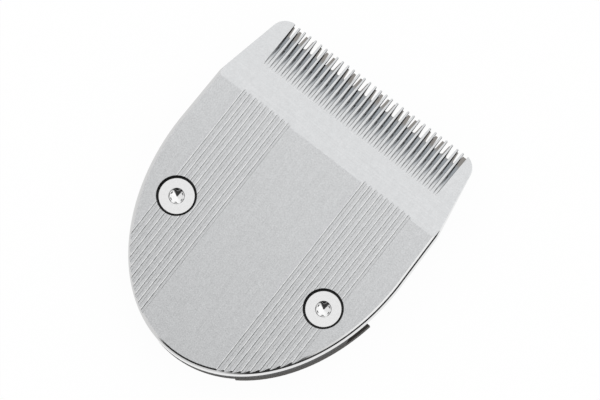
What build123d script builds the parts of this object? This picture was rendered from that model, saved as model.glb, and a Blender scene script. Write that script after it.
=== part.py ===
from build123d import *
import os

# Blade set of a small hair clipper, lying on its back with the comb face up.
# Origin: centre of the drive slot, midway between the two screws, on the carrier's back face.
# +Y points to the teeth, +X runs along the tooth row, +Z points up out of the comb face.

# Comb plate: outline
PLATE_WIDTH = 40.15
PLATE_THICKNESS = 2.65
TIP_Y = 30.4
ROUND_END_Y = -18.3
WIDEST_Y = 9.0
SHOULDER_DRAW_IN = 0.2
SHOULDER_Y = 18.3
CORNER_TOOTH_WIDTH = 1.76
CORNER_RADIUS = 2.4
RIM_SLOPE_WIDTH = 0.25
RIM_SLOPE_DROP = 0.08
RIM_EDGE = 0.2

# Comb plate: bevel and tooth slots
BEVEL_LENGTH = 12.6
TIP_THICKNESS = 0.35
TOOTH_PITCH = 1.0
SLOT_COUNT = 32
SLOT_ROW_SHIFT = 0.22
SLOT_LENGTH = 7.55
SLOT_THROUGH_LENGTH = 4.0
SLOT_TIP_WIDTH = 0.75
SLOT_ROOT_WIDTH = 0.38
TOOTH_TIP_BREAK = 0.1
SLOT_WHEEL_RADIUS = 20.0

# Comb plate: ribbed bands of shallow saw-tooth grooves
GROOVE_COUNT = 9
GROOVE_PITCH = 1.0
GROOVE_FIRST_X = 7.0
GROOVE_DEPTH = 0.1
GROOVE_EDGE_WIDTH = 0.1
GROOVE_EDGE_DROP = 0.02
GROOVE_WALL_WIDTH = 0.09
GROOVE_RAMP_WIDTH = 0.76
GROOVE_STEP_PLACE = 0.35
GROOVE_STEP_WIDTH = 0.04
GROOVE_STEP_DROP = 0.012

# Screws
SCREW_SPACING = 26.9
SCREW_HEAD_DIAMETER = 5.3
SCREW_HEAD_HEIGHT = 1.2
SCREW_HEAD_EDGE = 0.05
SCREW_SHANK_DIAMETER = 2.5
SCREW_POINT_CHAMFER = 0.5
SCREW_END_COVER = 1.0
SCREW_CLEARANCE = 0.02
HEAD_SINK = 0.45
COUNTERBORE_CLEARANCE = 0.3
PLATE_HOLE_CLEARANCE = 0.25
LOBE_COUNT = 6
LOBE_CIRCLE_RADIUS = 0.85
LOBE_RADIUS = 0.3
LOBE_CORE_RADIUS = 0.84
LOBE_TURN = 30.0
LOBE_DEPTH = 0.6
RECESS_MOUTH_RADIUS = 1.2
RECESS_MOUTH_DEPTH = 0.115
RECESS_POINT_DEPTH = 0.275

# Carrier
CARRIER_THICKNESS = 5.2
FLANGE_INSET = 0.03
SKIRT_INSET = 0.01
CARRIER_REAR_INSET = 0.1
CARRIER_FLANGE = 2.5
CARRIER_WALL = 1.3
SKIRT_END_Y = 2.65
ARM_OUTER_WIDTH = 33.2
ARM_END_Y = 12.4
ARM_CORNER_RADIUS = 1.4
WINDOW_WIDTH = 21.0
WINDOW_REAR_Y = -9.0
BOSS_DIAMETER = 5.4
RIB_THICKNESS = 1.0
RIB_SPACING = 9.0
NOTCH_WIDTH = 17.8
NOTCH_DEPTH = 4.2
NOTCH_HEIGHT = 1.7
POCKET_LENGTH = 4.15
POCKET_DEPTH = 0.8
POCKET_LEDGE = 1.9
POCKET_SLANT = 0.7
BACK_EDGE_CHAMFER = 0.1

# Cutter blade
CUTTER_THICKNESS = 1.0
CUTTER_PITCH = 1.25
CUTTER_TOOTH_COUNT = 26
CUTTER_TIP_SETBACK = 0.42
CUTTER_TOOTH_LENGTH = 1.63
CUTTER_GAP_TIP_WIDTH = 0.86
CUTTER_GAP_ROOT_WIDTH = 0.6
CUTTER_END_WIDTH = 0.4
CUTTER_REAR_GAP = 0.6
CUTTER_REAR_CORNER = 2.0
CUTTER_RELIEF_LENGTH = 3.0
CUTTER_TIP_THICKNESS = 0.4

# Drive fork
FORK_WIDTH = 10.0
FORK_REAR_Y = -3.4
FORK_BACK_CLEARANCE = 0.9
FORK_SLOT_WIDTH = 3.2
FORK_SLOT_LENGTH = 6.4
FORK_PLATE_CLEARANCE = 0.2
FORK_CORNER_RADIUS = 1.0
FORK_EDGE_CHAMFER = 0.3
TONGUE_WIDTH = 13.0
TONGUE_LENGTH = 7.0
TONGUE_THICKNESS = 1.4
TONGUE_CORNER_RADIUS = 1.5
STAKE_DIAMETER = 2.4
STAKE_SPACING = 8.0
STAKE_CLEARANCE = 0.05
STAKE_TOP_GAP = 0.1

# Pressure spring
WIRE_DIAMETER = 0.8
SPRING_SIDE_GAP = 0.4
SPRING_BEND_RADIUS = 1.4
SPRING_HOOK_RADIUS = 0.8
SPRING_HOOK_RISE = 1.3
SPRING_SEAT_Z = 1.6
SPRING_REACH = 1.5
SPRING_TIP_GAP = 0.05
SPRING_SEAT_CLEARANCE = 0.03
SPRING_TRACK_DEPTH = 0.45
SPRING_TRACK_CLEARANCE = 0.1

# Levels and places that follow from the sizes above
PLATE_TOP_Z = CARRIER_THICKNESS + PLATE_THICKNESS
BEVEL_START_Y = TIP_Y - BEVEL_LENGTH
BEVEL_DROP = PLATE_THICKNESS - TIP_THICKNESS
FIRST_SLOT_X = -(SLOT_COUNT - 1) * TOOTH_PITCH / 2
COMB_HALF_WIDTH = SLOT_TIP_WIDTH / 2 - FIRST_SLOT_X + CORNER_TOOTH_WIDTH
SCREW_SEAT_Z = PLATE_TOP_Z - HEAD_SINK - SCREW_HEAD_HEIGHT
SCREW_X = SCREW_SPACING / 2
SCREW_SHANK_LENGTH = SCREW_SEAT_Z - SCREW_END_COVER
CUTTER_BOTTOM_Z = CARRIER_THICKNESS - CUTTER_THICKNESS
CUTTER_REAR_Y = ARM_END_Y + CUTTER_REAR_GAP
CUTTER_TIP_Y = TIP_Y - CUTTER_TIP_SETBACK
CUTTER_HALF_WIDTH = (CUTTER_TOOTH_COUNT - 1) * CUTTER_PITCH / 2 + CUTTER_END_WIDTH
STAKE_Y = CUTTER_REAR_Y + TONGUE_LENGTH / 2
SPRING_TIP_Y = CUTTER_REAR_Y + SPRING_REACH
SPRING_TIP_Z = CUTTER_BOTTOM_Z + SPRING_TRACK_DEPTH - SPRING_TIP_GAP
SPRING_HALF_WIDTH = WINDOW_WIDTH / 2 - SPRING_SIDE_GAP - WIRE_DIAMETER / 2
CELL_HEIGHT = CARRIER_THICKNESS - CARRIER_FLANGE
# Cutting tools reach this far past the faces that they cut through.
OVERCUT = 1.0


def block(x_range, y_range, z_range):
    """A box given by its limits along X, Y and Z."""
    size = [high - low for low, high in (x_range, y_range, z_range)]
    middle = [(high + low) / 2 for low, high in (x_range, y_range, z_range)]
    return Pos(*middle) * Box(*size)


def across(profile_points, half_width):
    """A prism along X, symmetric about X = 0, from points (y, z) of its outline."""
    face = make_face(Polyline(*profile_points, close=True))
    return extrude(Plane.YZ * face, half_width, both=True)


def tapered_gap(root_half, root_y, front_half, front_y):
    """Plan of a gap between teeth, from its narrow root to its wide front."""
    return make_face(
        Polyline(
            (-root_half, root_y),
            (root_half, root_y),
            (front_half, front_y),
            (-front_half, front_y),
            close=True,
        )
    )


def round_end(inset, rear_inset=0):
    """The ellipse that closes the plate's round end, drawn in all round and then at its rear alone."""
    return Pos(0, WIDEST_Y) * Ellipse(PLATE_WIDTH / 2 - inset, WIDEST_Y - ROUND_END_Y - inset - rear_inset)


def plate_outline(inset):
    """The shield outline, drawn in by an inset: round end, straight sides and tapered comb."""
    half = PLATE_WIDTH / 2 - inset
    shoulder = half - SHOULDER_DRAW_IN
    tip = COMB_HALF_WIDTH - inset
    front_y = TIP_Y - inset
    upper = make_face(
        Polyline(
            (-half, WIDEST_Y),
            (half, WIDEST_Y),
            (shoulder, SHOULDER_Y),
            (tip, front_y),
            (-tip, front_y),
            (-shoulder, SHOULDER_Y),
            close=True,
        )
    )
    corners = upper.vertices().group_by(Axis.Y)[-1]
    upper = fillet(corners, CORNER_RADIUS)
    lower_half = Pos(0, WIDEST_Y - PLATE_WIDTH) * Rectangle(2 * PLATE_WIDTH, 2 * PLATE_WIDTH)
    return upper + (round_end(inset) & lower_half)


def bevel_z(y):
    """Height of the bevelled face over a place along Y."""
    return PLATE_TOP_Z - BEVEL_DROP * (y - BEVEL_START_Y) / BEVEL_LENGTH


def bevel_cut():
    """The wedge that is ground off to thin the comb."""
    end_y = TIP_Y + OVERCUT
    points = [
        (BEVEL_START_Y, PLATE_TOP_Z),
        (end_y, bevel_z(end_y)),
        (end_y, PLATE_TOP_Z + OVERCUT),
        (BEVEL_START_Y, PLATE_TOP_Z + OVERCUT),
    ]
    return across(points, PLATE_WIDTH)


def slot_cut():
    """One tooth slot: it narrows to its root, where the grinding wheel's arc runs out."""
    root_y = TIP_Y - SLOT_LENGTH
    through_y = TIP_Y - SLOT_THROUGH_LENGTH
    front_y = TIP_Y + OVERCUT
    low_z = CARRIER_THICKNESS - OVERCUT
    high_z = PLATE_TOP_Z + OVERCUT
    run_out = RadiusArc((root_y, bevel_z(root_y)), (through_y, CARRIER_THICKNESS), -SLOT_WHEEL_RADIUS)
    rest = Polyline(
        (through_y, CARRIER_THICKNESS),
        (through_y, low_z),
        (front_y, low_z),
        (front_y, high_z),
        (root_y, high_z),
        (root_y, bevel_z(root_y)),
    )
    side = extrude(Plane.YZ * make_face([run_out, rest]), TOOTH_PITCH, both=True)
    taper = (SLOT_TIP_WIDTH - SLOT_ROOT_WIDTH) / SLOT_LENGTH
    front_half = SLOT_TIP_WIDTH / 2 + taper / 2 * OVERCUT
    root_half = SLOT_ROOT_WIDTH / 2
    plan = tapered_gap(root_half, root_y, front_half, front_y)
    tip_half = SLOT_TIP_WIDTH / 2
    plan += tapered_gap(tip_half, TIP_Y - TOOTH_TIP_BREAK, tip_half + TOOTH_TIP_BREAK, TIP_Y)
    return side & (Pos(0, 0, low_z) * extrude(plan, high_z - low_z))


def groove_cut(x):
    """One saw-tooth groove, lowest at x: a broken edge, a steep wall and a long ramp with a fine step."""
    edge_x = x - GROOVE_WALL_WIDTH
    start_x = edge_x - GROOVE_EDGE_WIDTH
    step_x = x + GROOVE_STEP_PLACE
    ramp_end = x + GROOVE_RAMP_WIDTH
    step_z = PLATE_TOP_Z - GROOVE_DEPTH * (1 - GROOVE_STEP_PLACE / GROOVE_RAMP_WIDTH)
    points = [
        (start_x, PLATE_TOP_Z),
        (edge_x, PLATE_TOP_Z - GROOVE_EDGE_DROP),
        (x, PLATE_TOP_Z - GROOVE_DEPTH),
        (step_x, step_z),
        (step_x + GROOVE_STEP_WIDTH, step_z - GROOVE_STEP_DROP),
        (ramp_end, PLATE_TOP_Z),
        (ramp_end, PLATE_TOP_Z + OVERCUT),
        (start_x, PLATE_TOP_Z + OVERCUT),
    ]
    face = Plane.XZ * make_face(Polyline(*points, close=True))
    return extrude(face, PLATE_WIDTH, both=True)


def screw_hole_cut(x):
    """A counterbored screw hole through the plate."""
    bore_radius = SCREW_HEAD_DIAMETER / 2 + COUNTERBORE_CLEARANCE
    hole_radius = SCREW_SHANK_DIAMETER / 2 + PLATE_HOLE_CLEARANCE
    bore = Pos(x, 0, SCREW_SEAT_Z) * extrude(Circle(bore_radius), PLATE_TOP_Z - SCREW_SEAT_Z + OVERCUT)
    hole = Pos(x, 0, CARRIER_THICKNESS - OVERCUT) * extrude(Circle(hole_radius), PLATE_THICKNESS)
    return [bore, hole]


def comb_plate():
    """The fixed blade."""
    slope_z = PLATE_TOP_Z - RIM_SLOPE_DROP
    edge_z = slope_z - RIM_EDGE
    plate = Pos(0, 0, CARRIER_THICKNESS) * extrude(plate_outline(0), edge_z - CARRIER_THICKNESS)
    rim = [
        Pos(0, 0, edge_z) * plate_outline(0),
        Pos(0, 0, slope_z) * plate_outline(RIM_EDGE),
        Pos(0, 0, PLATE_TOP_Z) * plate_outline(RIM_EDGE + RIM_SLOPE_WIDTH),
    ]
    plate += loft(rim, ruled=True)
    plate -= bevel_cut()
    cuts = []
    for x in (-SCREW_X, SCREW_X):
        cuts += screw_hole_cut(x)
    for index in range(GROOVE_COUNT):
        band_x = GROOVE_FIRST_X + index * GROOVE_PITCH
        cuts.append(groove_cut(band_x - GROOVE_STEP_PLACE / 2))
        cuts.append(groove_cut(-band_x - GROOVE_STEP_PLACE / 2))
    slot = slot_cut()
    for index in range(SLOT_COUNT):
        cuts.append(Pos(FIRST_SLOT_X + SLOT_ROW_SHIFT + index * TOOTH_PITCH, 0, 0) * slot)
    return plate - cuts


def cutter_blade():
    """The moving blade: tapered teeth relieved on their back, and a track for the spring's tips."""
    rear = CUTTER_REAR_Y
    half = CUTTER_HALF_WIDTH
    outline = make_face(
        Polyline(
            (-half, rear + CUTTER_REAR_CORNER),
            (-half + CUTTER_REAR_CORNER, rear),
            (half - CUTTER_REAR_CORNER, rear),
            (half, rear + CUTTER_REAR_CORNER),
            (half, CUTTER_TIP_Y),
            (-half, CUTTER_TIP_Y),
            close=True,
        )
    )
    blade = Pos(0, 0, CUTTER_BOTTOM_Z) * extrude(outline, CUTTER_THICKNESS)
    relief = across(
        [
            (CUTTER_TIP_Y - CUTTER_RELIEF_LENGTH, CUTTER_BOTTOM_Z),
            (CUTTER_TIP_Y, CARRIER_THICKNESS - CUTTER_TIP_THICKNESS),
            (CUTTER_TIP_Y, CUTTER_BOTTOM_Z - OVERCUT),
            (CUTTER_TIP_Y - CUTTER_RELIEF_LENGTH, CUTTER_BOTTOM_Z - OVERCUT),
        ],
        PLATE_WIDTH,
    )
    blade -= relief
    root_radius = CUTTER_GAP_ROOT_WIDTH / 2
    root_y = CUTTER_TIP_Y - CUTTER_TOOTH_LENGTH + root_radius
    taper = (CUTTER_GAP_TIP_WIDTH - CUTTER_GAP_ROOT_WIDTH) / (CUTTER_TIP_Y - root_y)
    front_y = CUTTER_TIP_Y + OVERCUT
    front_half = CUTTER_GAP_TIP_WIDTH / 2 + taper / 2 * OVERCUT
    gap = tapered_gap(root_radius, root_y, front_half, front_y)
    gap += Pos(0, root_y) * Circle(root_radius)
    gap_cut = Pos(0, 0, CUTTER_BOTTOM_Z - OVERCUT) * extrude(gap, CUTTER_THICKNESS + 2 * OVERCUT)
    gap_count = CUTTER_TOOTH_COUNT - 1
    first_gap_x = -(gap_count - 1) * CUTTER_PITCH / 2
    cuts = []
    for index in range(gap_count):
        cuts.append(Pos(first_gap_x + index * CUTTER_PITCH, 0, 0) * gap_cut)
    hole_radius = STAKE_DIAMETER / 2 + STAKE_CLEARANCE
    for x in (-STAKE_SPACING / 2, STAKE_SPACING / 2):
        hole = extrude(Circle(hole_radius), CUTTER_THICKNESS + 2 * OVERCUT)
        cuts.append(Pos(x, STAKE_Y, CUTTER_BOTTOM_Z - OVERCUT) * hole)
    track_half = WIRE_DIAMETER / 2 + SPRING_TRACK_CLEARANCE
    cuts.append(
        block(
            (-half - OVERCUT, half + OVERCUT),
            (SPRING_TIP_Y - track_half, SPRING_TIP_Y + track_half),
            (CUTTER_BOTTOM_Z - OVERCUT, CUTTER_BOTTOM_Z + SPRING_TRACK_DEPTH),
        )
    )
    return blade - cuts


def drive_fork():
    """The moulded follower: a slotted block with a tongue staked under the cutter."""
    top_z = CARRIER_THICKNESS - FORK_PLATE_CLEARANCE
    front_y = CUTTER_REAR_Y - FORK_PLATE_CLEARANCE
    body = block((-FORK_WIDTH / 2, FORK_WIDTH / 2), (FORK_REAR_Y, front_y), (FORK_BACK_CLEARANCE, top_z))
    body = fillet(body.edges().filter_by(Axis.Z).group_by(Axis.Y)[0], FORK_CORNER_RADIUS)
    slot_end_y = FORK_REAR_Y + FORK_SLOT_LENGTH
    slot_half = FORK_SLOT_WIDTH / 2
    below_z = FORK_BACK_CLEARANCE - OVERCUT
    above_z = top_z + OVERCUT
    slot_round_y = slot_end_y - slot_half
    slot = block((-slot_half, slot_half), (FORK_REAR_Y - OVERCUT, slot_round_y), (below_z, above_z))
    slot += Pos(0, slot_round_y, (below_z + above_z) / 2) * Cylinder(slot_half, above_z - below_z)
    body -= slot
    body = chamfer(body.faces().sort_by(Axis.Z)[0].edges(), FORK_EDGE_CHAMFER)
    tongue_z = (CUTTER_BOTTOM_Z - TONGUE_THICKNESS, CUTTER_BOTTOM_Z)
    tongue = block(
        (-TONGUE_WIDTH / 2, TONGUE_WIDTH / 2), (front_y, CUTTER_REAR_Y + TONGUE_LENGTH), tongue_z
    )
    tongue_corners = tongue.edges().filter_by(Axis.Z).group_by(Axis.Y)[-1]
    body += fillet(tongue_corners, TONGUE_CORNER_RADIUS)
    stake_height = CUTTER_THICKNESS - STAKE_TOP_GAP
    for x in (-STAKE_SPACING / 2, STAKE_SPACING / 2):
        body += Pos(x, STAKE_Y, CUTTER_BOTTOM_Z) * extrude(Circle(STAKE_DIAMETER / 2), stake_height)
    return body


def screw(x):
    """A flat-headed thread-forming screw whose six-lobe recess has a coned mouth and a coned floor."""
    head = extrude(Circle(SCREW_HEAD_DIAMETER / 2), SCREW_HEAD_HEIGHT)
    head = chamfer(head.edges().sort_by(Axis.Z)[-1], SCREW_HEAD_EDGE)
    recess = Circle(LOBE_CORE_RADIUS)
    lobe_places = PolarLocations(LOBE_CIRCLE_RADIUS, LOBE_COUNT, LOBE_TURN)
    recess += [place * Circle(LOBE_RADIUS) for place in lobe_places]
    recess_floor = SCREW_HEAD_HEIGHT - LOBE_DEPTH
    head -= Pos(0, 0, recess_floor) * extrude(recess, LOBE_DEPTH + OVERCUT)
    mouth = Cone(LOBE_CORE_RADIUS, RECESS_MOUTH_RADIUS, RECESS_MOUTH_DEPTH)
    head -= Pos(0, 0, SCREW_HEAD_HEIGHT - RECESS_MOUTH_DEPTH / 2) * mouth
    point = Cone(0, LOBE_CORE_RADIUS, RECESS_POINT_DEPTH)
    shank = Pos(0, 0, -SCREW_SHANK_LENGTH) * extrude(Circle(SCREW_SHANK_DIAMETER / 2), SCREW_SHANK_LENGTH)
    shank = chamfer(shank.edges().sort_by(Axis.Z)[0], SCREW_POINT_CHAMFER)
    body = head + shank - Pos(0, 0, recess_floor - RECESS_POINT_DEPTH / 2) * point
    return Pos(x, 0, SCREW_SEAT_Z) * body


def spring_points():
    """Corner points of the spring wire's centre line, from one free end to the other."""
    half = SPRING_HALF_WIDTH
    arm_z = SPRING_TIP_Z - SPRING_HOOK_RISE
    return [
        (-half, SPRING_TIP_Y, SPRING_TIP_Z),
        (-half, SPRING_TIP_Y, arm_z),
        (-half, WINDOW_REAR_Y, SPRING_SEAT_Z),
        (half, WINDOW_REAR_Y, SPRING_SEAT_Z),
        (half, SPRING_TIP_Y, arm_z),
        (half, SPRING_TIP_Y, SPRING_TIP_Z),
    ]


def pressure_spring():
    """The U-shaped wire: its bar sits in the carrier's rear wall, its hooked arms press the cutter up."""
    radii = [SPRING_HOOK_RADIUS, SPRING_BEND_RADIUS, SPRING_BEND_RADIUS, SPRING_HOOK_RADIUS]
    path = FilletPolyline(*spring_points(), radius=radii)
    section = Plane(path @ 0, z_dir=path % 0) * Circle(WIRE_DIAMETER / 2)
    return sweep(section, path=path)


def carrier_plan(rim_inset, wall):
    """Plan of the carrier without its window, a wall in from its edge: the round end and two arms."""
    arm_half = ARM_OUTER_WIDTH / 2 - wall
    skirt_y = SKIRT_END_Y - wall
    reach = 2 * PLATE_WIDTH
    behind = Pos(0, skirt_y - reach / 2) * Rectangle(reach, reach)
    rear = round_end(rim_inset + wall, CARRIER_REAR_INSET) & behind
    arm_length = ARM_END_Y - wall
    arms = Pos(0, arm_length / 2) * Rectangle(2 * arm_half, arm_length)
    arms = fillet(arms.vertices().group_by(Axis.Y)[-1], ARM_CORNER_RADIUS)
    return rear + arms


def window_plan(grow):
    """Plan of the window for the drive, open towards the teeth."""
    length = ARM_END_Y + OVERCUT - WINDOW_REAR_Y + grow
    return Pos(0, WINDOW_REAR_Y - grow + length / 2) * Rectangle(WINDOW_WIDTH + 2 * grow, length)


def carrier_cells():
    """The hollow cells under the carrier's flange, left open at its back, between ribs and bosses."""
    plan = carrier_plan(SKIRT_INSET, CARRIER_WALL) - window_plan(CARRIER_WALL)
    rear_length = WINDOW_REAR_Y - ROUND_END_Y
    for x in (-SCREW_X, SCREW_X):
        plan -= Pos(x, 0) * Circle(BOSS_DIAMETER / 2)
        plan -= Pos(x, 0) * Rectangle(PLATE_WIDTH - SCREW_SPACING, RIB_THICKNESS)
        plan -= Pos(x, ROUND_END_Y / 2) * Rectangle(RIB_THICKNESS, -ROUND_END_Y)
    for x in (-RIB_SPACING / 2, RIB_SPACING / 2):
        plan -= Pos(x, ROUND_END_Y + rear_length / 2) * Rectangle(RIB_THICKNESS, rear_length)
    return extrude(plan, CELL_HEIGHT)


def pocket_cut():
    """The two side pockets, open to the front, over a ledge and with a slanted rear wall."""
    start_y = SKIRT_END_Y - POCKET_LENGTH
    end_y = SKIRT_END_Y + OVERCUT
    side = [
        (start_y, POCKET_LEDGE),
        (end_y, POCKET_LEDGE),
        (end_y, CARRIER_THICKNESS),
        (start_y + POCKET_SLANT, CARRIER_THICKNESS),
    ]
    rim = round_end(-OVERCUT) - round_end(SKIRT_INSET + POCKET_DEPTH, CARRIER_REAR_INSET)
    return across(side, PLATE_WIDTH) & extrude(rim, CARRIER_THICKNESS)


def blade_carrier():
    """The moulded frame: flange, skirt, window walls, screw bosses, notch and side pockets."""
    body = extrude(carrier_plan(SKIRT_INSET, 0) - window_plan(0), CELL_HEIGHT)
    body = chamfer(body.faces().sort_by(Axis.Z)[0].outer_wire().edges(), BACK_EDGE_CHAMFER)
    body -= carrier_cells()
    flange = carrier_plan(FLANGE_INSET, 0) - window_plan(0)
    body += Pos(0, 0, CELL_HEIGHT) * extrude(flange, CARRIER_FLANGE)
    cuts = [
        block(
            (-NOTCH_WIDTH / 2, NOTCH_WIDTH / 2),
            (ROUND_END_Y - OVERCUT, ROUND_END_Y + NOTCH_DEPTH),
            (-OVERCUT, NOTCH_HEIGHT),
        ),
        pocket_cut(),
    ]
    pilot_radius = SCREW_SHANK_DIAMETER / 2 + SCREW_CLEARANCE
    for x in (-SCREW_X, SCREW_X):
        pilot = extrude(Circle(pilot_radius), CARRIER_THICKNESS)
        cuts.append(Pos(x, 0, SCREW_END_COVER - SCREW_CLEARANCE) * pilot)
    seat_radius = WIRE_DIAMETER / 2 + SPRING_SEAT_CLEARANCE
    seat = Pos(0, WINDOW_REAR_Y, SPRING_SEAT_Z) * Rot(0, 90, 0) * Cylinder(seat_radius, WINDOW_WIDTH)
    cuts.append(seat)
    return body - cuts


def build_nodes():
    """Every piece of the blade set by its name."""
    return {
        "comb_plate": comb_plate(),
        "cutter_blade": cutter_blade(),
        "drive_fork": drive_fork(),
        "blade_carrier": blade_carrier(),
        "pressure_spring": pressure_spring(),
        "left_screw": screw(-SCREW_X),
        "right_screw": screw(SCREW_X),
    }


os.makedirs("parts", exist_ok=True)
for name, piece in build_nodes().items():
    export_step(piece, f"parts/{name}.step")
    print(name, "volume", round(piece.volume, 2))
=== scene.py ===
import math

import bpy
from mathutils import Matrix, Vector


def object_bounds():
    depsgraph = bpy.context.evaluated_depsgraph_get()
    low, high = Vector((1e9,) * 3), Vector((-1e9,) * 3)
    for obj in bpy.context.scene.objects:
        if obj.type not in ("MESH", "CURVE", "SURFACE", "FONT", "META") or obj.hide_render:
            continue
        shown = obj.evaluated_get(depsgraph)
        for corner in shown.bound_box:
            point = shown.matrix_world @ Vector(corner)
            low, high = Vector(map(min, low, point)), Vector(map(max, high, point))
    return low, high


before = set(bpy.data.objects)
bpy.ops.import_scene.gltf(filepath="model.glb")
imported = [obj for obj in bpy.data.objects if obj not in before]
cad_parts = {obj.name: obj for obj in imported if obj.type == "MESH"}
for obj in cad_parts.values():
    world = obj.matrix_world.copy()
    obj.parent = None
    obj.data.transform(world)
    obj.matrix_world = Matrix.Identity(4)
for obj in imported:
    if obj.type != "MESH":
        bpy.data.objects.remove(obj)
cad_low, cad_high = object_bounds()

MM = 0.001

# Places on the blade that the finishes follow
TIP_Y = 30.4 * MM
BEVEL_START_Y = 17.8 * MM
BEVEL_DROP = 2.3 * MM
BEVEL_SLOPE = BEVEL_DROP / (TIP_Y - BEVEL_START_Y)
TOOTH_PITCH = 1.0 * MM
SLOT_ROW_SHIFT = 0.22 * MM
SLOT_ROW_HALF = 16.0 * MM
SLOT_LENGTH = 7.55 * MM
SLOT_ROOT_Y = TIP_Y - SLOT_LENGTH
SLOT_TIP_WIDTH = 0.75 * MM
SLOT_ROOT_WIDTH = 0.38 * MM
GROOVED_HALF = 17.0 * MM
SCREW_X = 13.45 * MM
COUNTERBORE_RADIUS = 2.95 * MM
RECESS_MOUTH_RADIUS = 1.2 * MM
LOBE_CORE_RADIUS = 0.84 * MM
SKIRT_STEP_Z = 2.7 * MM

# Camera: almost straight down, leaning towards the round end's right-hand side
VIEW_TILT = math.radians(9.2)
VIEW_LEAN = Vector((0.84, -0.54, 0.0)).normalized()
ROW_SLOPE_IN_IMAGE = math.radians(37.55)
CAMERA_DISTANCE = 1200 * MM
CAMERA_NEAR = 10 * MM
CAMERA_FAR = 20000 * MM
CAMERA_LENS_MM = 500.3
AIM_POINT = Vector((1.062 * MM, 10.379 * MM, cad_high.z))

# Room: an even light tent, brighter behind the teeth, with a lamp, dark openings and a dark horizon.
# The back's rise is how far towards +Y a direction points where the tent starts and stops growing
# brighter. A lamp or opening is a direction, as degrees from straight up and from +X, and the degrees
# where it ends and begins. The horizon is dark to both sides of one direction, between two heights.
ROOM_RADIANCE = 0.95
ROOM_BACK_RADIANCE = 1.19
ROOM_BACK_RISE = (0.0, 0.5)
ROOM_DARK = 0.04
DARK_OPENINGS = [(31, -97, 11, 8), (28, -75, 12, 9), (26, -48, 11, 8)]
HORIZON_MIDDLE = math.radians(-5)
HORIZON_SPREAD = (math.radians(64), math.radians(46))
HORIZON_FOOT = (math.radians(0.5), math.radians(3))
HORIZON_TOP = (math.radians(16), math.radians(12))
LAMP_RADIANCE = 1.3
LAMP = (21, 14, 15, 10)

FLOOR_HALF = 2000 * MM
FLOOR_GAP = 0.02 * MM
FLOOR_WHITE = 0.97
FLOOR_GLOW = 0.96


class Shading:
    """A node tree with short calls to add nodes and join them."""

    def __init__(self, tree):
        self.tree = tree

    def add(self, kind, **settings):
        """A new node with the given settings."""
        node = self.tree.nodes.new(kind)
        for name, value in settings.items():
            setattr(node, name, value)
        return node

    def join(self, source, target):
        """Link a socket to an input, or set a plain value on it."""
        if isinstance(source, bpy.types.NodeSocket):
            self.tree.links.new(source, target)
        else:
            target.default_value = source

    def feed(self, node, *values):
        """Join values to a node's first inputs, in their order, and give its first output."""
        for value, socket in zip(values, node.inputs):
            self.join(value, socket)
        return node.outputs[0]

    def math(self, operation, *values):
        """The result of one Math node."""
        return self.feed(self.add("ShaderNodeMath", operation=operation), *values)

    def both(self, first, second):
        """1 where two masks are 1."""
        return self.math("MULTIPLY", first, second)

    def absolute(self, value):
        """A number without its sign."""
        return self.math("ABSOLUTE", value)

    def dot(self, vector, direction):
        """How far a vector reaches along a direction."""
        node = self.add("ShaderNodeVectorMath", operation="DOT_PRODUCT")
        self.feed(node, vector, direction)
        return node.outputs["Value"]

    def ramp(self, value, start, stop, low=0.0, high=1.0):
        """Go smoothly from low to high while the value goes from start to stop, and no further."""
        node = self.add("ShaderNodeMapRange", interpolation_type="SMOOTHSTEP")
        return self.feed(node, value, start, stop, low, high)

    def linear(self, value, start, stop, low=0.0, high=1.0):
        """Go straight from low to high while the value goes from start to stop, and no further."""
        return self.feed(self.add("ShaderNodeMapRange"), value, start, stop, low, high)

    def blend(self, amount, first, second):
        """Mix two numbers, which are the Mix node's inputs 2 and 3."""
        node = self.add("ShaderNodeMix", data_type="FLOAT")
        self.join(amount, node.inputs[0])
        self.join(first, node.inputs[2])
        self.join(second, node.inputs[3])
        return node.outputs[0]

    def tint(self, amount, first, second):
        """Mix two colours, which are the Mix node's inputs 6 and 7."""
        node = self.add("ShaderNodeMix", data_type="RGBA")
        self.join(amount, node.inputs[0])
        self.join(first, node.inputs[6])
        self.join(second, node.inputs[7])
        return node.outputs[2]


class Finish(Shading):
    """A material around one Principled shader, with textures laid out in the part's own frame."""

    def __init__(self, name, metallic):
        self.data = bpy.data.materials.new(name)
        self.data.use_nodes = True
        super().__init__(self.data.node_tree)
        self.shader = self.tree.nodes["Principled BSDF"]
        self.join(metallic, self.shader.inputs["Metallic"])
        self.place = self.add("ShaderNodeTexCoord").outputs["Object"]
        self.x, self.y, self.z = self.axes(self.place)
        normal = self.add("ShaderNodeNewGeometry").outputs["Normal"]
        self.normal_x, self.normal_y, self.normal_z = self.axes(normal)

    def axes(self, vector):
        """A vector's X, Y and Z."""
        node = self.add("ShaderNodeSeparateXYZ")
        self.feed(node, vector)
        return node.outputs

    def noise(self, cell, detail):
        """Noise from 0 to 1 whose cells measure the given sizes along X, Y and Z."""
        mapping = self.add("ShaderNodeMapping")
        self.join(self.place, mapping.inputs["Vector"])
        self.join([1 / size for size in cell], mapping.inputs["Scale"])
        texture = self.add("ShaderNodeTexNoise")
        self.join(mapping.outputs[0], texture.inputs["Vector"])
        self.join(1.0, texture.inputs["Scale"])
        self.join(detail, texture.inputs["Detail"])
        return texture.outputs[0]

    def vary(self, base, texture, swing):
        """A number that follows a texture, within about the given swing of its base."""
        return self.math("MULTIPLY_ADD", self.math("SUBTRACT", texture, 0.5), 2 * swing, base)

    def set(self, color, roughness, height, depth):
        """Join the finish to the shader; depth is how far the height's full range stands out."""
        self.join(color, self.shader.inputs["Base Color"])
        self.join(roughness, self.shader.inputs["Roughness"])
        bump = self.add("ShaderNodeBump")
        self.join(depth, bump.inputs["Distance"])
        self.join(height, bump.inputs["Height"])
        self.join(bump.outputs[0], self.shader.inputs["Normal"])
        return self.data


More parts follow.
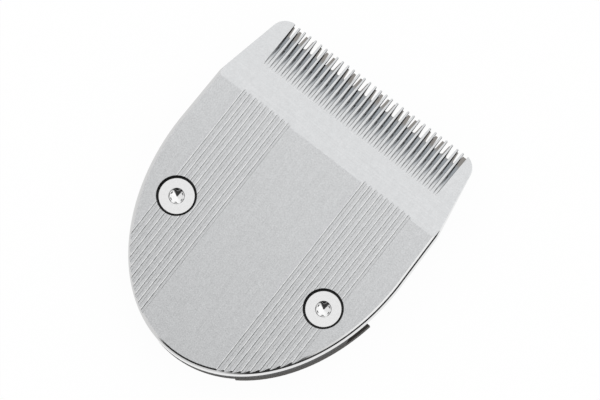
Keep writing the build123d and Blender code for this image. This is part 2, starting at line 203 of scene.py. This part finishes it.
def gray(value, warm=0.0):
    """A neutral colour; a positive warm leans it to brown, a negative one to blue."""
    return (value * (1 + warm), value, value * (1 - warm), 1.0)


def screw_distance(finish):
    """Distance from the nearer screw's axis."""
    x = finish.math("SUBTRACT", finish.absolute(finish.x), SCREW_X)
    y = finish.y
    squares = finish.math("ADD", finish.math("MULTIPLY", x, x), finish.math("MULTIPLY", y, y))
    return finish.math("SQRT", squares)


# Finishes: a pair of numbers says where a change starts and stops, as a place, a depth, a share of the
# surface's normal along one axis or a texture's value. A cell is the size of a texture's grains along
# X, Y and Z, and a swing is how far a texture moves a number up and down.
SOFT_FADE = 0.1 * MM

# Comb plate's ground faces and rim. The tones are shares of the way from the dark to the bright steel.
FACE_STREAK_CELL = (0.14 * MM, 9 * MM, 1 * MM)
BEVEL_STREAK_CELL = (7 * MM, 0.12 * MM, 1 * MM)
MOTTLE_CELL = (0.7 * MM, 1.1 * MM, 1 * MM)
SPECK_CELL = (0.17 * MM, 0.20 * MM, 1 * MM)
STREAK_DEPTH = 0.0006 * MM
GROUND_NORMAL_Z = (0.962, 0.976)
GROUND_DARK = gray(0.47, -0.012)
GROUND_BRIGHT = gray(0.74, -0.012)
FACE_SPAN_Y = (-16 * MM, BEVEL_START_Y)
FACE_TONES = (0.30, 0.60)
BEVEL_TONE = 0.67
STREAK_SWING = 0.22
MOTTLE_SWING = 0.16
SPECK_SWING = 0.66
BEVEL_SPECK_SWING = 0.22
GROUND_ROUGHNESS = 0.42
GROUND_ROUGHNESS_SWING = 0.06
RIM_COLOR = gray(0.66)
RIM_ROUGHNESS = 0.08


def ground_color(finish, on_bevel, streaks, mottle):
    """Ground steel, darker towards the round end, with streaks, mottling and specks."""
    specks = finish.noise(SPECK_CELL, detail=2)
    soft_specks = finish.vary(base=0.5, texture=specks, swing=BEVEL_SPECK_SWING)
    face_tone = finish.linear(finish.y, *FACE_SPAN_Y, *FACE_TONES)
    tone = finish.blend(on_bevel, face_tone, BEVEL_TONE)
    tone = finish.vary(tone, streaks, STREAK_SWING)
    tone = finish.vary(tone, mottle, MOTTLE_SWING)
    tone = finish.vary(tone, finish.blend(on_bevel, specks, soft_specks), SPECK_SWING)
    return finish.tint(tone, GROUND_DARK, GROUND_BRIGHT)


# Grooves of the comb plate's ribbed bands: walls painted with shade that is darker towards the round end,
# fine steps that lean less and get a darker painted shade, and slightly leaning edges that get a painted
# highlight
GROOVE_NORMAL_Y = (0.08, 0.04)
GROOVE_NORMAL_Z = (0.972, 0.964)
FINE_STEP_NORMAL_Z = (0.8, 0.9)
GROOVE_EDGE_NORMAL_X = (0.12, 0.17)
GROOVE_SPAN_Y = (-14 * MM, 6 * MM)
GROOVE_SHADE_DARK = gray(0.12)
GROOVE_SHADE_LIGHT = gray(0.33)
FINE_STEP_SHADE = gray(0.08)
GROOVE_MOTTLE = (0.40, 0.60)
GROOVE_STRENGTH = (0.55, 1.0)
GROOVE_ROUGHNESS = 0.4
PAINTED_GLINT_MOTTLE = (0.60, 0.40)
PAINTED_GLINT_STRENGTH = (0.0, 0.9)
PAINTED_GLINT_COLOR = gray(0.71)
GROOVE_EDGE_ROUGHNESS = 0.2


def groove_masks(finish, ground):
    """1 on the grooves' walls and fine steps, and 1 on their edges."""
    inside = finish.ramp(finish.absolute(finish.x), GROOVED_HALF, GROOVED_HALF - SOFT_FADE)
    lengthwise = finish.ramp(finish.absolute(finish.normal_y), *GROOVE_NORMAL_Y)
    ribbed = finish.both(inside, lengthwise)
    walls = finish.both(ribbed, finish.ramp(finish.normal_z, *GROOVE_NORMAL_Z))
    leaning = finish.both(ribbed, finish.ramp(finish.normal_x, *GROOVE_EDGE_NORMAL_X))
    return walls, finish.both(leaning, ground)


def groove_color(finish, color, walls, edges, mottle):
    """Lay the grooves' painted shade and painted highlights over the plate's colour, as unevenly as its
    mottling.
    """
    # Painted shade on the grooves' walls, darker towards the round end, and darker still on the fine steps
    wall_shade = finish.tint(finish.linear(finish.y, *GROOVE_SPAN_Y), GROOVE_SHADE_DARK, GROOVE_SHADE_LIGHT)
    fine_step = finish.ramp(finish.normal_z, *FINE_STEP_NORMAL_Z)
    dark = finish.both(walls, finish.ramp(mottle, *GROOVE_MOTTLE, *GROOVE_STRENGTH))
    color = finish.tint(dark, color, finish.tint(fine_step, wall_shade, FINE_STEP_SHADE))
    # Painted highlight on the grooves' leaning edges, as uneven as the mottling
    painted_glint = finish.both(edges, finish.ramp(mottle, *PAINTED_GLINT_MOTTLE, *PAINTED_GLINT_STRENGTH))
    return finish.tint(painted_glint, color, PAINTED_GLINT_COLOR)


# Slots of the comb plate, with painted shade: dark lines along the teeth's edges, which narrow towards the
# tips, floors that darken with depth and have dark corners, and side walls painted light at the root and
# dark towards the tips
ROW_END_FADE = 0.02 * MM
TOOTH_EDGE_START_Y = (SLOT_ROOT_Y, SLOT_ROOT_Y + 0.9 * MM)
TOOTH_EDGE_SPAN_Y = (SLOT_ROOT_Y + 1.5 * MM, SLOT_ROOT_Y + 6.0 * MM)
TOOTH_EDGE_WIDTHS = (0.10 * MM, 0.04 * MM)
TOOTH_EDGE_FADE = 0.04 * MM
TOOTH_EDGE_SHADE = gray(0.10)
SUNK_DEPTH = (0.01 * MM, 0.04 * MM)
SLOT_FLOOR_DEPTH = (0.3 * MM, 1.0 * MM)
SLOT_FLOOR_HIGH = gray(0.60, -0.01)
SLOT_FLOOR_DEEP_SHADE = gray(0.36, -0.05)
CORNER_DEPTH = (0.6 * MM, 1.1 * MM)
CORNER_WIDTH = 0.12 * MM
CORNER_FADE = 0.06 * MM
CORNER_SHADE = gray(0.16, -0.04)
WALL_NORMAL_X = (0.6, 0.8)
WALL_SPAN_Y = (SLOT_ROOT_Y + 2.4 * MM, SLOT_ROOT_Y + 5.0 * MM)
WALL_LIGHT_AT_ROOT = gray(0.95)
WALL_SHADE_AT_TIP = gray(0.02)
SLOT_ROUGHNESS = 0.15
WALL_TIP_ROUGHNESS = 1.0


def slot_place(finish):
    """Depth below the bevelled face, and distance outside the nearest slot's edge, negative in the slot."""
    past_bevel = finish.math("SUBTRACT", finish.y, BEVEL_START_Y)
    bevel_z = finish.math("MULTIPLY_ADD", past_bevel, -BEVEL_SLOPE, cad_high.z)
    depth = finish.math("SUBTRACT", bevel_z, finish.z)
    pitches = finish.math("DIVIDE", finish.math("SUBTRACT", finish.x, SLOT_ROW_SHIFT), TOOTH_PITCH)
    off_middle = finish.absolute(finish.math("SUBTRACT", finish.math("FRACT", pitches), 0.5))
    half_width = finish.linear(finish.y, SLOT_ROOT_Y, TIP_Y, SLOT_ROOT_WIDTH / 2, SLOT_TIP_WIDTH / 2)
    return depth, finish.math("SUBTRACT", finish.math("MULTIPLY", off_middle, TOOTH_PITCH), half_width)


def paint_slots(finish, color, roughness):
    """Lay the slots' painted light and shade over the plate's colour, and their roughness over its
    roughness.
    """
    depth, outside = slot_place(finish)
    off_row = finish.absolute(finish.math("SUBTRACT", finish.x, SLOT_ROW_SHIFT))
    beside = finish.ramp(off_row, SLOT_ROW_HALF + ROW_END_FADE, SLOT_ROW_HALF - ROW_END_FADE)
    in_row = finish.both(beside, finish.ramp(finish.y, SLOT_ROOT_Y - SOFT_FADE, SLOT_ROOT_Y))

    # Painted shade: dark lines along the teeth's edges, which narrow towards the tips
    past_root = finish.both(beside, finish.ramp(finish.y, *TOOTH_EDGE_START_Y))
    edge_width = finish.linear(finish.y, *TOOTH_EDGE_SPAN_Y, *TOOTH_EDGE_WIDTHS)
    edge_dark = finish.math("SUBTRACT", edge_width, TOOTH_EDGE_FADE)
    tooth_edge_shade = finish.both(past_root, finish.ramp(outside, edge_width, edge_dark))
    color = finish.tint(tooth_edge_shade, color, TOOTH_EDGE_SHADE)

    # Painted shade: the slots' floors grow darker with depth, and darker still in their corners
    sunk = finish.both(in_row, finish.ramp(depth, *SUNK_DEPTH))
    floor_color = finish.tint(finish.ramp(depth, *SLOT_FLOOR_DEPTH), SLOT_FLOOR_HIGH, SLOT_FLOOR_DEEP_SHADE)
    corner = finish.linear(depth, *CORNER_DEPTH, 0.0, -CORNER_WIDTH)
    corner_start = finish.math("SUBTRACT", corner, CORNER_FADE)
    floor_color = finish.tint(finish.ramp(outside, corner_start, corner), floor_color, CORNER_SHADE)
    color = finish.tint(sunk, color, floor_color)
    roughness = finish.blend(sunk, roughness, SLOT_ROUGHNESS)

    # Painted light and shade on the slots' side walls: brighter than the face at the root, near black
    # towards the tips
    wall = finish.both(in_row, finish.ramp(finish.absolute(finish.normal_x), *WALL_NORMAL_X))
    to_tip = finish.linear(finish.y, *WALL_SPAN_Y)
    color = finish.tint(wall, color, finish.tint(to_tip, WALL_LIGHT_AT_ROOT, WALL_SHADE_AT_TIP))
    wall_roughness = finish.blend(to_tip, SLOT_ROUGHNESS, WALL_TIP_ROUGHNESS)
    return color, finish.blend(wall, roughness, wall_roughness)


# Counterbores of the comb plate, painted with shade from just outside their edge
COUNTERBORE_EDGE = (COUNTERBORE_RADIUS + 0.04 * MM, COUNTERBORE_RADIUS + 0.01 * MM)
COUNTERBORE_SHADE = gray(0.05)


def comb_steel():
    """Ground steel: streaks along the face, grind lines across the bevel, a polished rim, and painted shade
    and highlights in the grooves, slots and counterbores.
    """
    finish = Finish("comb_steel", metallic=1.0)
    on_bevel = finish.ramp(finish.y, BEVEL_START_Y, BEVEL_START_Y + SOFT_FADE)
    lengthwise = finish.noise(FACE_STREAK_CELL, detail=3)
    crosswise = finish.noise(BEVEL_STREAK_CELL, detail=3)
    streaks = finish.blend(on_bevel, lengthwise, crosswise)
    mottle = finish.noise(MOTTLE_CELL, detail=4)
    ground = finish.ramp(finish.normal_z, *GROUND_NORMAL_Z)
    walls, edges = groove_masks(finish, ground)

    color = finish.tint(ground, RIM_COLOR, ground_color(finish, on_bevel, streaks, mottle))
    color = groove_color(finish, color, walls, edges, mottle)
    roughness = finish.blend(walls, RIM_ROUGHNESS, GROOVE_ROUGHNESS)
    ground_roughness = finish.vary(GROUND_ROUGHNESS, streaks, GROUND_ROUGHNESS_SWING)
    roughness = finish.blend(ground, roughness, ground_roughness)
    roughness = finish.blend(edges, roughness, GROOVE_EDGE_ROUGHNESS)
    color, roughness = paint_slots(finish, color, roughness)
    # Painted shade in the counterbores
    in_counterbore = finish.ramp(screw_distance(finish), *COUNTERBORE_EDGE)
    color = finish.tint(in_counterbore, color, COUNTERBORE_SHADE)
    return finish.set(color, roughness, height=streaks, depth=STREAK_DEPTH)


def cutter_steel():
    """Darker ground steel, cool behind and warm towards its tips, with grind lines across its teeth."""
    finish = Finish("cutter_steel", metallic=1.0)
    crosswise = finish.noise(cell=(8 * MM, 0.12 * MM, 1 * MM), detail=3)
    stain = finish.noise(cell=(3 * MM, 3 * MM, 3 * MM), detail=3)
    cool = finish.tint(stain, first=gray(0.29, -0.06), second=gray(0.38, -0.07))
    warm = finish.tint(stain, first=gray(0.22, 0.06), second=gray(0.30, 0.05))
    near_tip = finish.ramp(finish.y, start=TIP_Y - 2.6 * MM, stop=TIP_Y - 1.6 * MM)
    color = finish.tint(near_tip, cool, warm)
    roughness = finish.vary(base=0.15, texture=crosswise, swing=0.05)
    return finish.set(color, roughness, height=crosswise, depth=0.0004 * MM)


# Screws: a head with fine specks, and a recess with painted shade: dark walls, a coned mouth with a dark
# line at its inner edge and another near its rim; and lobes whose floors dip towards the middle
HEAD_SPECK_CELL = (0.25 * MM, 0.25 * MM, 0.25 * MM)
HEAD_SPECK_DEPTH = 0.001 * MM
HEAD_DARK = gray(0.76)
HEAD_BRIGHT = gray(0.86)
HEAD_ROUGHNESS = 0.24
HEAD_ROUGHNESS_SWING = 0.08
RECESS_EDGE = (RECESS_MOUTH_RADIUS, RECESS_MOUTH_RADIUS - 0.04 * MM)
RECESS_WALL_NORMAL_Z = (0.85, 0.6)
RECESS_WALL_SHADE = gray(0.04)
RECESS_ROUGHNESS = 0.1
MOUTH_NORMAL_Z = (0.99, 0.97)
INNER_LINE_START = (LOBE_CORE_RADIUS - 0.02 * MM, LOBE_CORE_RADIUS)
INNER_LINE_STOP = (LOBE_CORE_RADIUS + 0.16 * MM, LOBE_CORE_RADIUS + 0.11 * MM)
INNER_LINE_SHADE = gray(0.05)
OUTER_LINE_RADIUS = 1.12 * MM
OUTER_LINE_HALF = (0.08 * MM, 0.03 * MM)
OUTER_LINE_SHADE = gray(0.12)
LOBE_FLOOR_NORMAL_Z = (0.985, 0.995)
LOBE_FLOOR_SLOPE = 0.33


def recess_shade_lines(finish, color, from_axis):
    """Lay the two dark lines of painted shade in the recess's mouth over the screw's colour."""
    past_core = finish.ramp(from_axis, *INNER_LINE_START)
    near_core = finish.both(past_core, finish.ramp(from_axis, *INNER_LINE_STOP))
    inner_line = finish.both(finish.ramp(finish.normal_z, *MOUTH_NORMAL_Z), near_core)
    color = finish.tint(inner_line, color, INNER_LINE_SHADE)
    off_line = finish.absolute(finish.math("SUBTRACT", from_axis, OUTER_LINE_RADIUS))
    return finish.tint(finish.ramp(off_line, *OUTER_LINE_HALF), color, OUTER_LINE_SHADE)


def screw_steel():
    """Bright plating over a turned head, with painted shade on the recess's walls and in two dark lines at
    its mouth.
    """
    finish = Finish("screw_steel", metallic=1.0)
    specks = finish.noise(HEAD_SPECK_CELL, detail=3)
    from_axis = screw_distance(finish)
    in_recess = finish.ramp(from_axis, *RECESS_EDGE)

    color = finish.tint(specks, HEAD_DARK, HEAD_BRIGHT)
    # Painted shade on the recess's walls
    wall = finish.both(finish.ramp(finish.normal_z, *RECESS_WALL_NORMAL_Z), in_recess)
    color = finish.tint(wall, color, RECESS_WALL_SHADE)
    color = recess_shade_lines(finish, color, from_axis)
    head_roughness = finish.vary(HEAD_ROUGHNESS, specks, HEAD_ROUGHNESS_SWING)
    roughness = finish.blend(in_recess, head_roughness, RECESS_ROUGHNESS)

    # This height is in metres, so its depth is 1
    lobe_floor = finish.both(in_recess, finish.ramp(finish.normal_z, *LOBE_FLOOR_NORMAL_Z))
    dip = finish.math("MULTIPLY", finish.math("MULTIPLY", lobe_floor, from_axis), LOBE_FLOOR_SLOPE)
    height = finish.math("MULTIPLY_ADD", specks, HEAD_SPECK_DEPTH, dip)
    return finish.set(color, roughness, height, depth=1.0)


def carrier_plastic():
    """Dark moulded plastic with a fine spark-eroded texture, browner below the skirt's step."""
    finish = Finish("carrier_plastic", metallic=0.0)
    grain = finish.noise(cell=(0.09 * MM, 0.09 * MM, 0.09 * MM), detail=2)
    cloud = finish.noise(cell=(4 * MM, 4 * MM, 4 * MM), detail=3)
    upper = finish.tint(cloud, first=gray(0.044), second=gray(0.064))
    lower = finish.tint(cloud, first=gray(0.030, 0.14), second=gray(0.044, 0.12))
    above_step = finish.ramp(finish.z, start=SKIRT_STEP_Z - 0.05 * MM, stop=SKIRT_STEP_Z)
    color = finish.tint(above_step, lower, upper)
    roughness = finish.vary(base=0.72, texture=grain, swing=0.12)
    return finish.set(color, roughness, height=grain, depth=0.012 * MM)


def fork_plastic():
    """Natural white moulded plastic, smooth, with faint flow clouds."""
    finish = Finish("fork_plastic", metallic=0.0)
    grain = finish.noise(cell=(0.15 * MM, 0.15 * MM, 0.15 * MM), detail=2)
    cloud = finish.noise(cell=(5 * MM, 3 * MM, 3 * MM), detail=3)
    color = finish.tint(cloud, first=gray(0.72, 0.02), second=gray(0.80, 0.015))
    roughness = finish.vary(base=0.38, texture=grain, swing=0.08)
    return finish.set(color, roughness, height=grain, depth=0.004 * MM)


def spring_steel():
    """Drawn wire with fine marks along it."""
    finish = Finish("spring_steel", metallic=1.0)
    drawn = finish.noise(cell=(0.10 * MM, 6 * MM, 0.10 * MM), detail=3)
    stain = finish.noise(cell=(2 * MM, 2 * MM, 2 * MM), detail=3)
    color = finish.tint(stain, first=gray(0.46), second=gray(0.58))
    roughness = finish.vary(base=0.28, texture=drawn, swing=0.08)
    return finish.set(color, roughness, height=drawn, depth=0.002 * MM)


def dress(node, material):
    """Give a node its one material."""
    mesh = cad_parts[node].data
    mesh.materials.clear()
    mesh.materials.append(material)


def shown_rays(shading):
    """1 for rays from the camera and from gloss or glass, 0 for the light that falls on things."""
    path = shading.add("ShaderNodeLightPath")
    seen = shading.math("MAXIMUM", path.outputs["Is Camera Ray"], path.outputs["Is Glossy Ray"])
    return shading.math("MAXIMUM", seen, path.outputs["Is Transmission Ray"])


def add_floor():
    """A white floor that keeps the blade's soft shadow."""
    mesh = bpy.data.meshes.new("floor")
    level = cad_low.z - FLOOR_GAP
    half = FLOOR_HALF
    corners = [(x, y, level) for x, y in ((-half, -half), (half, -half), (half, half), (-half, half))]
    mesh.from_pydata(corners, [], [(0, 1, 2, 3)])
    floor = bpy.data.objects.new("floor", mesh)
    bpy.context.scene.collection.objects.link(floor)
    material = bpy.data.materials.new("floor_white")
    material.use_nodes = True
    shading = Shading(material.node_tree)
    shading.tree.nodes.clear()
    paper = shading.feed(shading.add("ShaderNodeBsdfDiffuse"), gray(FLOOR_WHITE))
    glow = shading.add("ShaderNodeEmission").outputs[0]
    glow_share = shading.math("MULTIPLY", shown_rays(shading), FLOOR_GLOW)
    surface = shading.feed(shading.add("ShaderNodeMixShader"), glow_share, paper, glow)
    shading.join(surface, shading.add("ShaderNodeOutputMaterial").inputs["Surface"])
    mesh.materials.append(material)


def spot(shading, direction, place):
    """1 inside a round patch of the room, 0 outside it."""
    zenith_angle, azimuth, end, begin = (math.radians(angle) for angle in place)
    flat = math.sin(zenith_angle)
    middle = (flat * math.cos(azimuth), flat * math.sin(azimuth), math.cos(zenith_angle))
    return shading.ramp(shading.dot(direction, middle), math.cos(end), math.cos(begin))


def horizon(shading, direction):
    """1 in a low band round one side of the room, 0 elsewhere."""
    height = shading.dot(direction, (0, 0, 1))
    foot = shading.ramp(height, *(math.sin(angle) for angle in HORIZON_FOOT))
    top = shading.ramp(height, *(math.sin(angle) for angle in HORIZON_TOP))
    turn = shading.dot(direction, (math.cos(HORIZON_MIDDLE), math.sin(HORIZON_MIDDLE), 0))
    spread = shading.ramp(turn, *(math.cos(angle) for angle in HORIZON_SPREAD))
    return shading.both(shading.both(foot, top), spread)


def add_room():
    """The light of the studio, white to the camera."""
    world = bpy.data.worlds.new("studio")
    world.use_nodes = True
    shading = Shading(world.node_tree)
    background = shading.tree.nodes["Background"]
    direction = shading.add("ShaderNodeTexCoord").outputs["Generated"]
    behind = shading.dot(direction, (0, 1, 0))
    light = shading.ramp(behind, *ROOM_BACK_RISE, ROOM_RADIANCE, ROOM_BACK_RADIANCE)
    for opening in DARK_OPENINGS:
        light = shading.blend(spot(shading, direction, opening), light, ROOM_DARK)
    light = shading.blend(horizon(shading, direction), light, ROOM_DARK)
    light = shading.blend(spot(shading, direction, LAMP), light, LAMP_RADIANCE)
    shading.join(gray(1.0), background.inputs["Color"])
    camera_ray = shading.add("ShaderNodeLightPath").outputs["Is Camera Ray"]
    shading.join(shading.math("MAXIMUM", light, camera_ray), background.inputs["Strength"])
    bpy.context.scene.world = world


def add_camera():
    """A long lens over the blade, rolled so that the tooth row slopes down to the right."""
    back = VIEW_LEAN * math.sin(VIEW_TILT) + Vector((0, 0, math.cos(VIEW_TILT)))
    right = Vector((1, 0, 0)) - back * back.x
    right.normalize()
    up = back.cross(right)
    roll = Matrix.Rotation(ROW_SLOPE_IN_IMAGE, 3, back)
    axes = Matrix((roll @ right, roll @ up, back)).transposed().to_4x4()
    data = bpy.data.cameras.new("camera")
    data.lens = CAMERA_LENS_MM
    data.clip_start = CAMERA_NEAR
    data.clip_end = CAMERA_FAR
    camera = bpy.data.objects.new("camera", data)
    camera.matrix_world = Matrix.Translation(AIM_POINT + back * CAMERA_DISTANCE) @ axes
    bpy.context.scene.collection.objects.link(camera)
    bpy.context.scene.camera = camera


screws = screw_steel()
dress("comb_plate", comb_steel())
dress("cutter_blade", cutter_steel())
dress("left_screw", screws)
dress("right_screw", screws)
dress("blade_carrier", carrier_plastic())
dress("drive_fork", fork_plastic())
dress("pressure_spring", spring_steel())

add_floor()
add_room()
add_camera()
bpy.context.scene.view_settings.view_transform = "Standard"
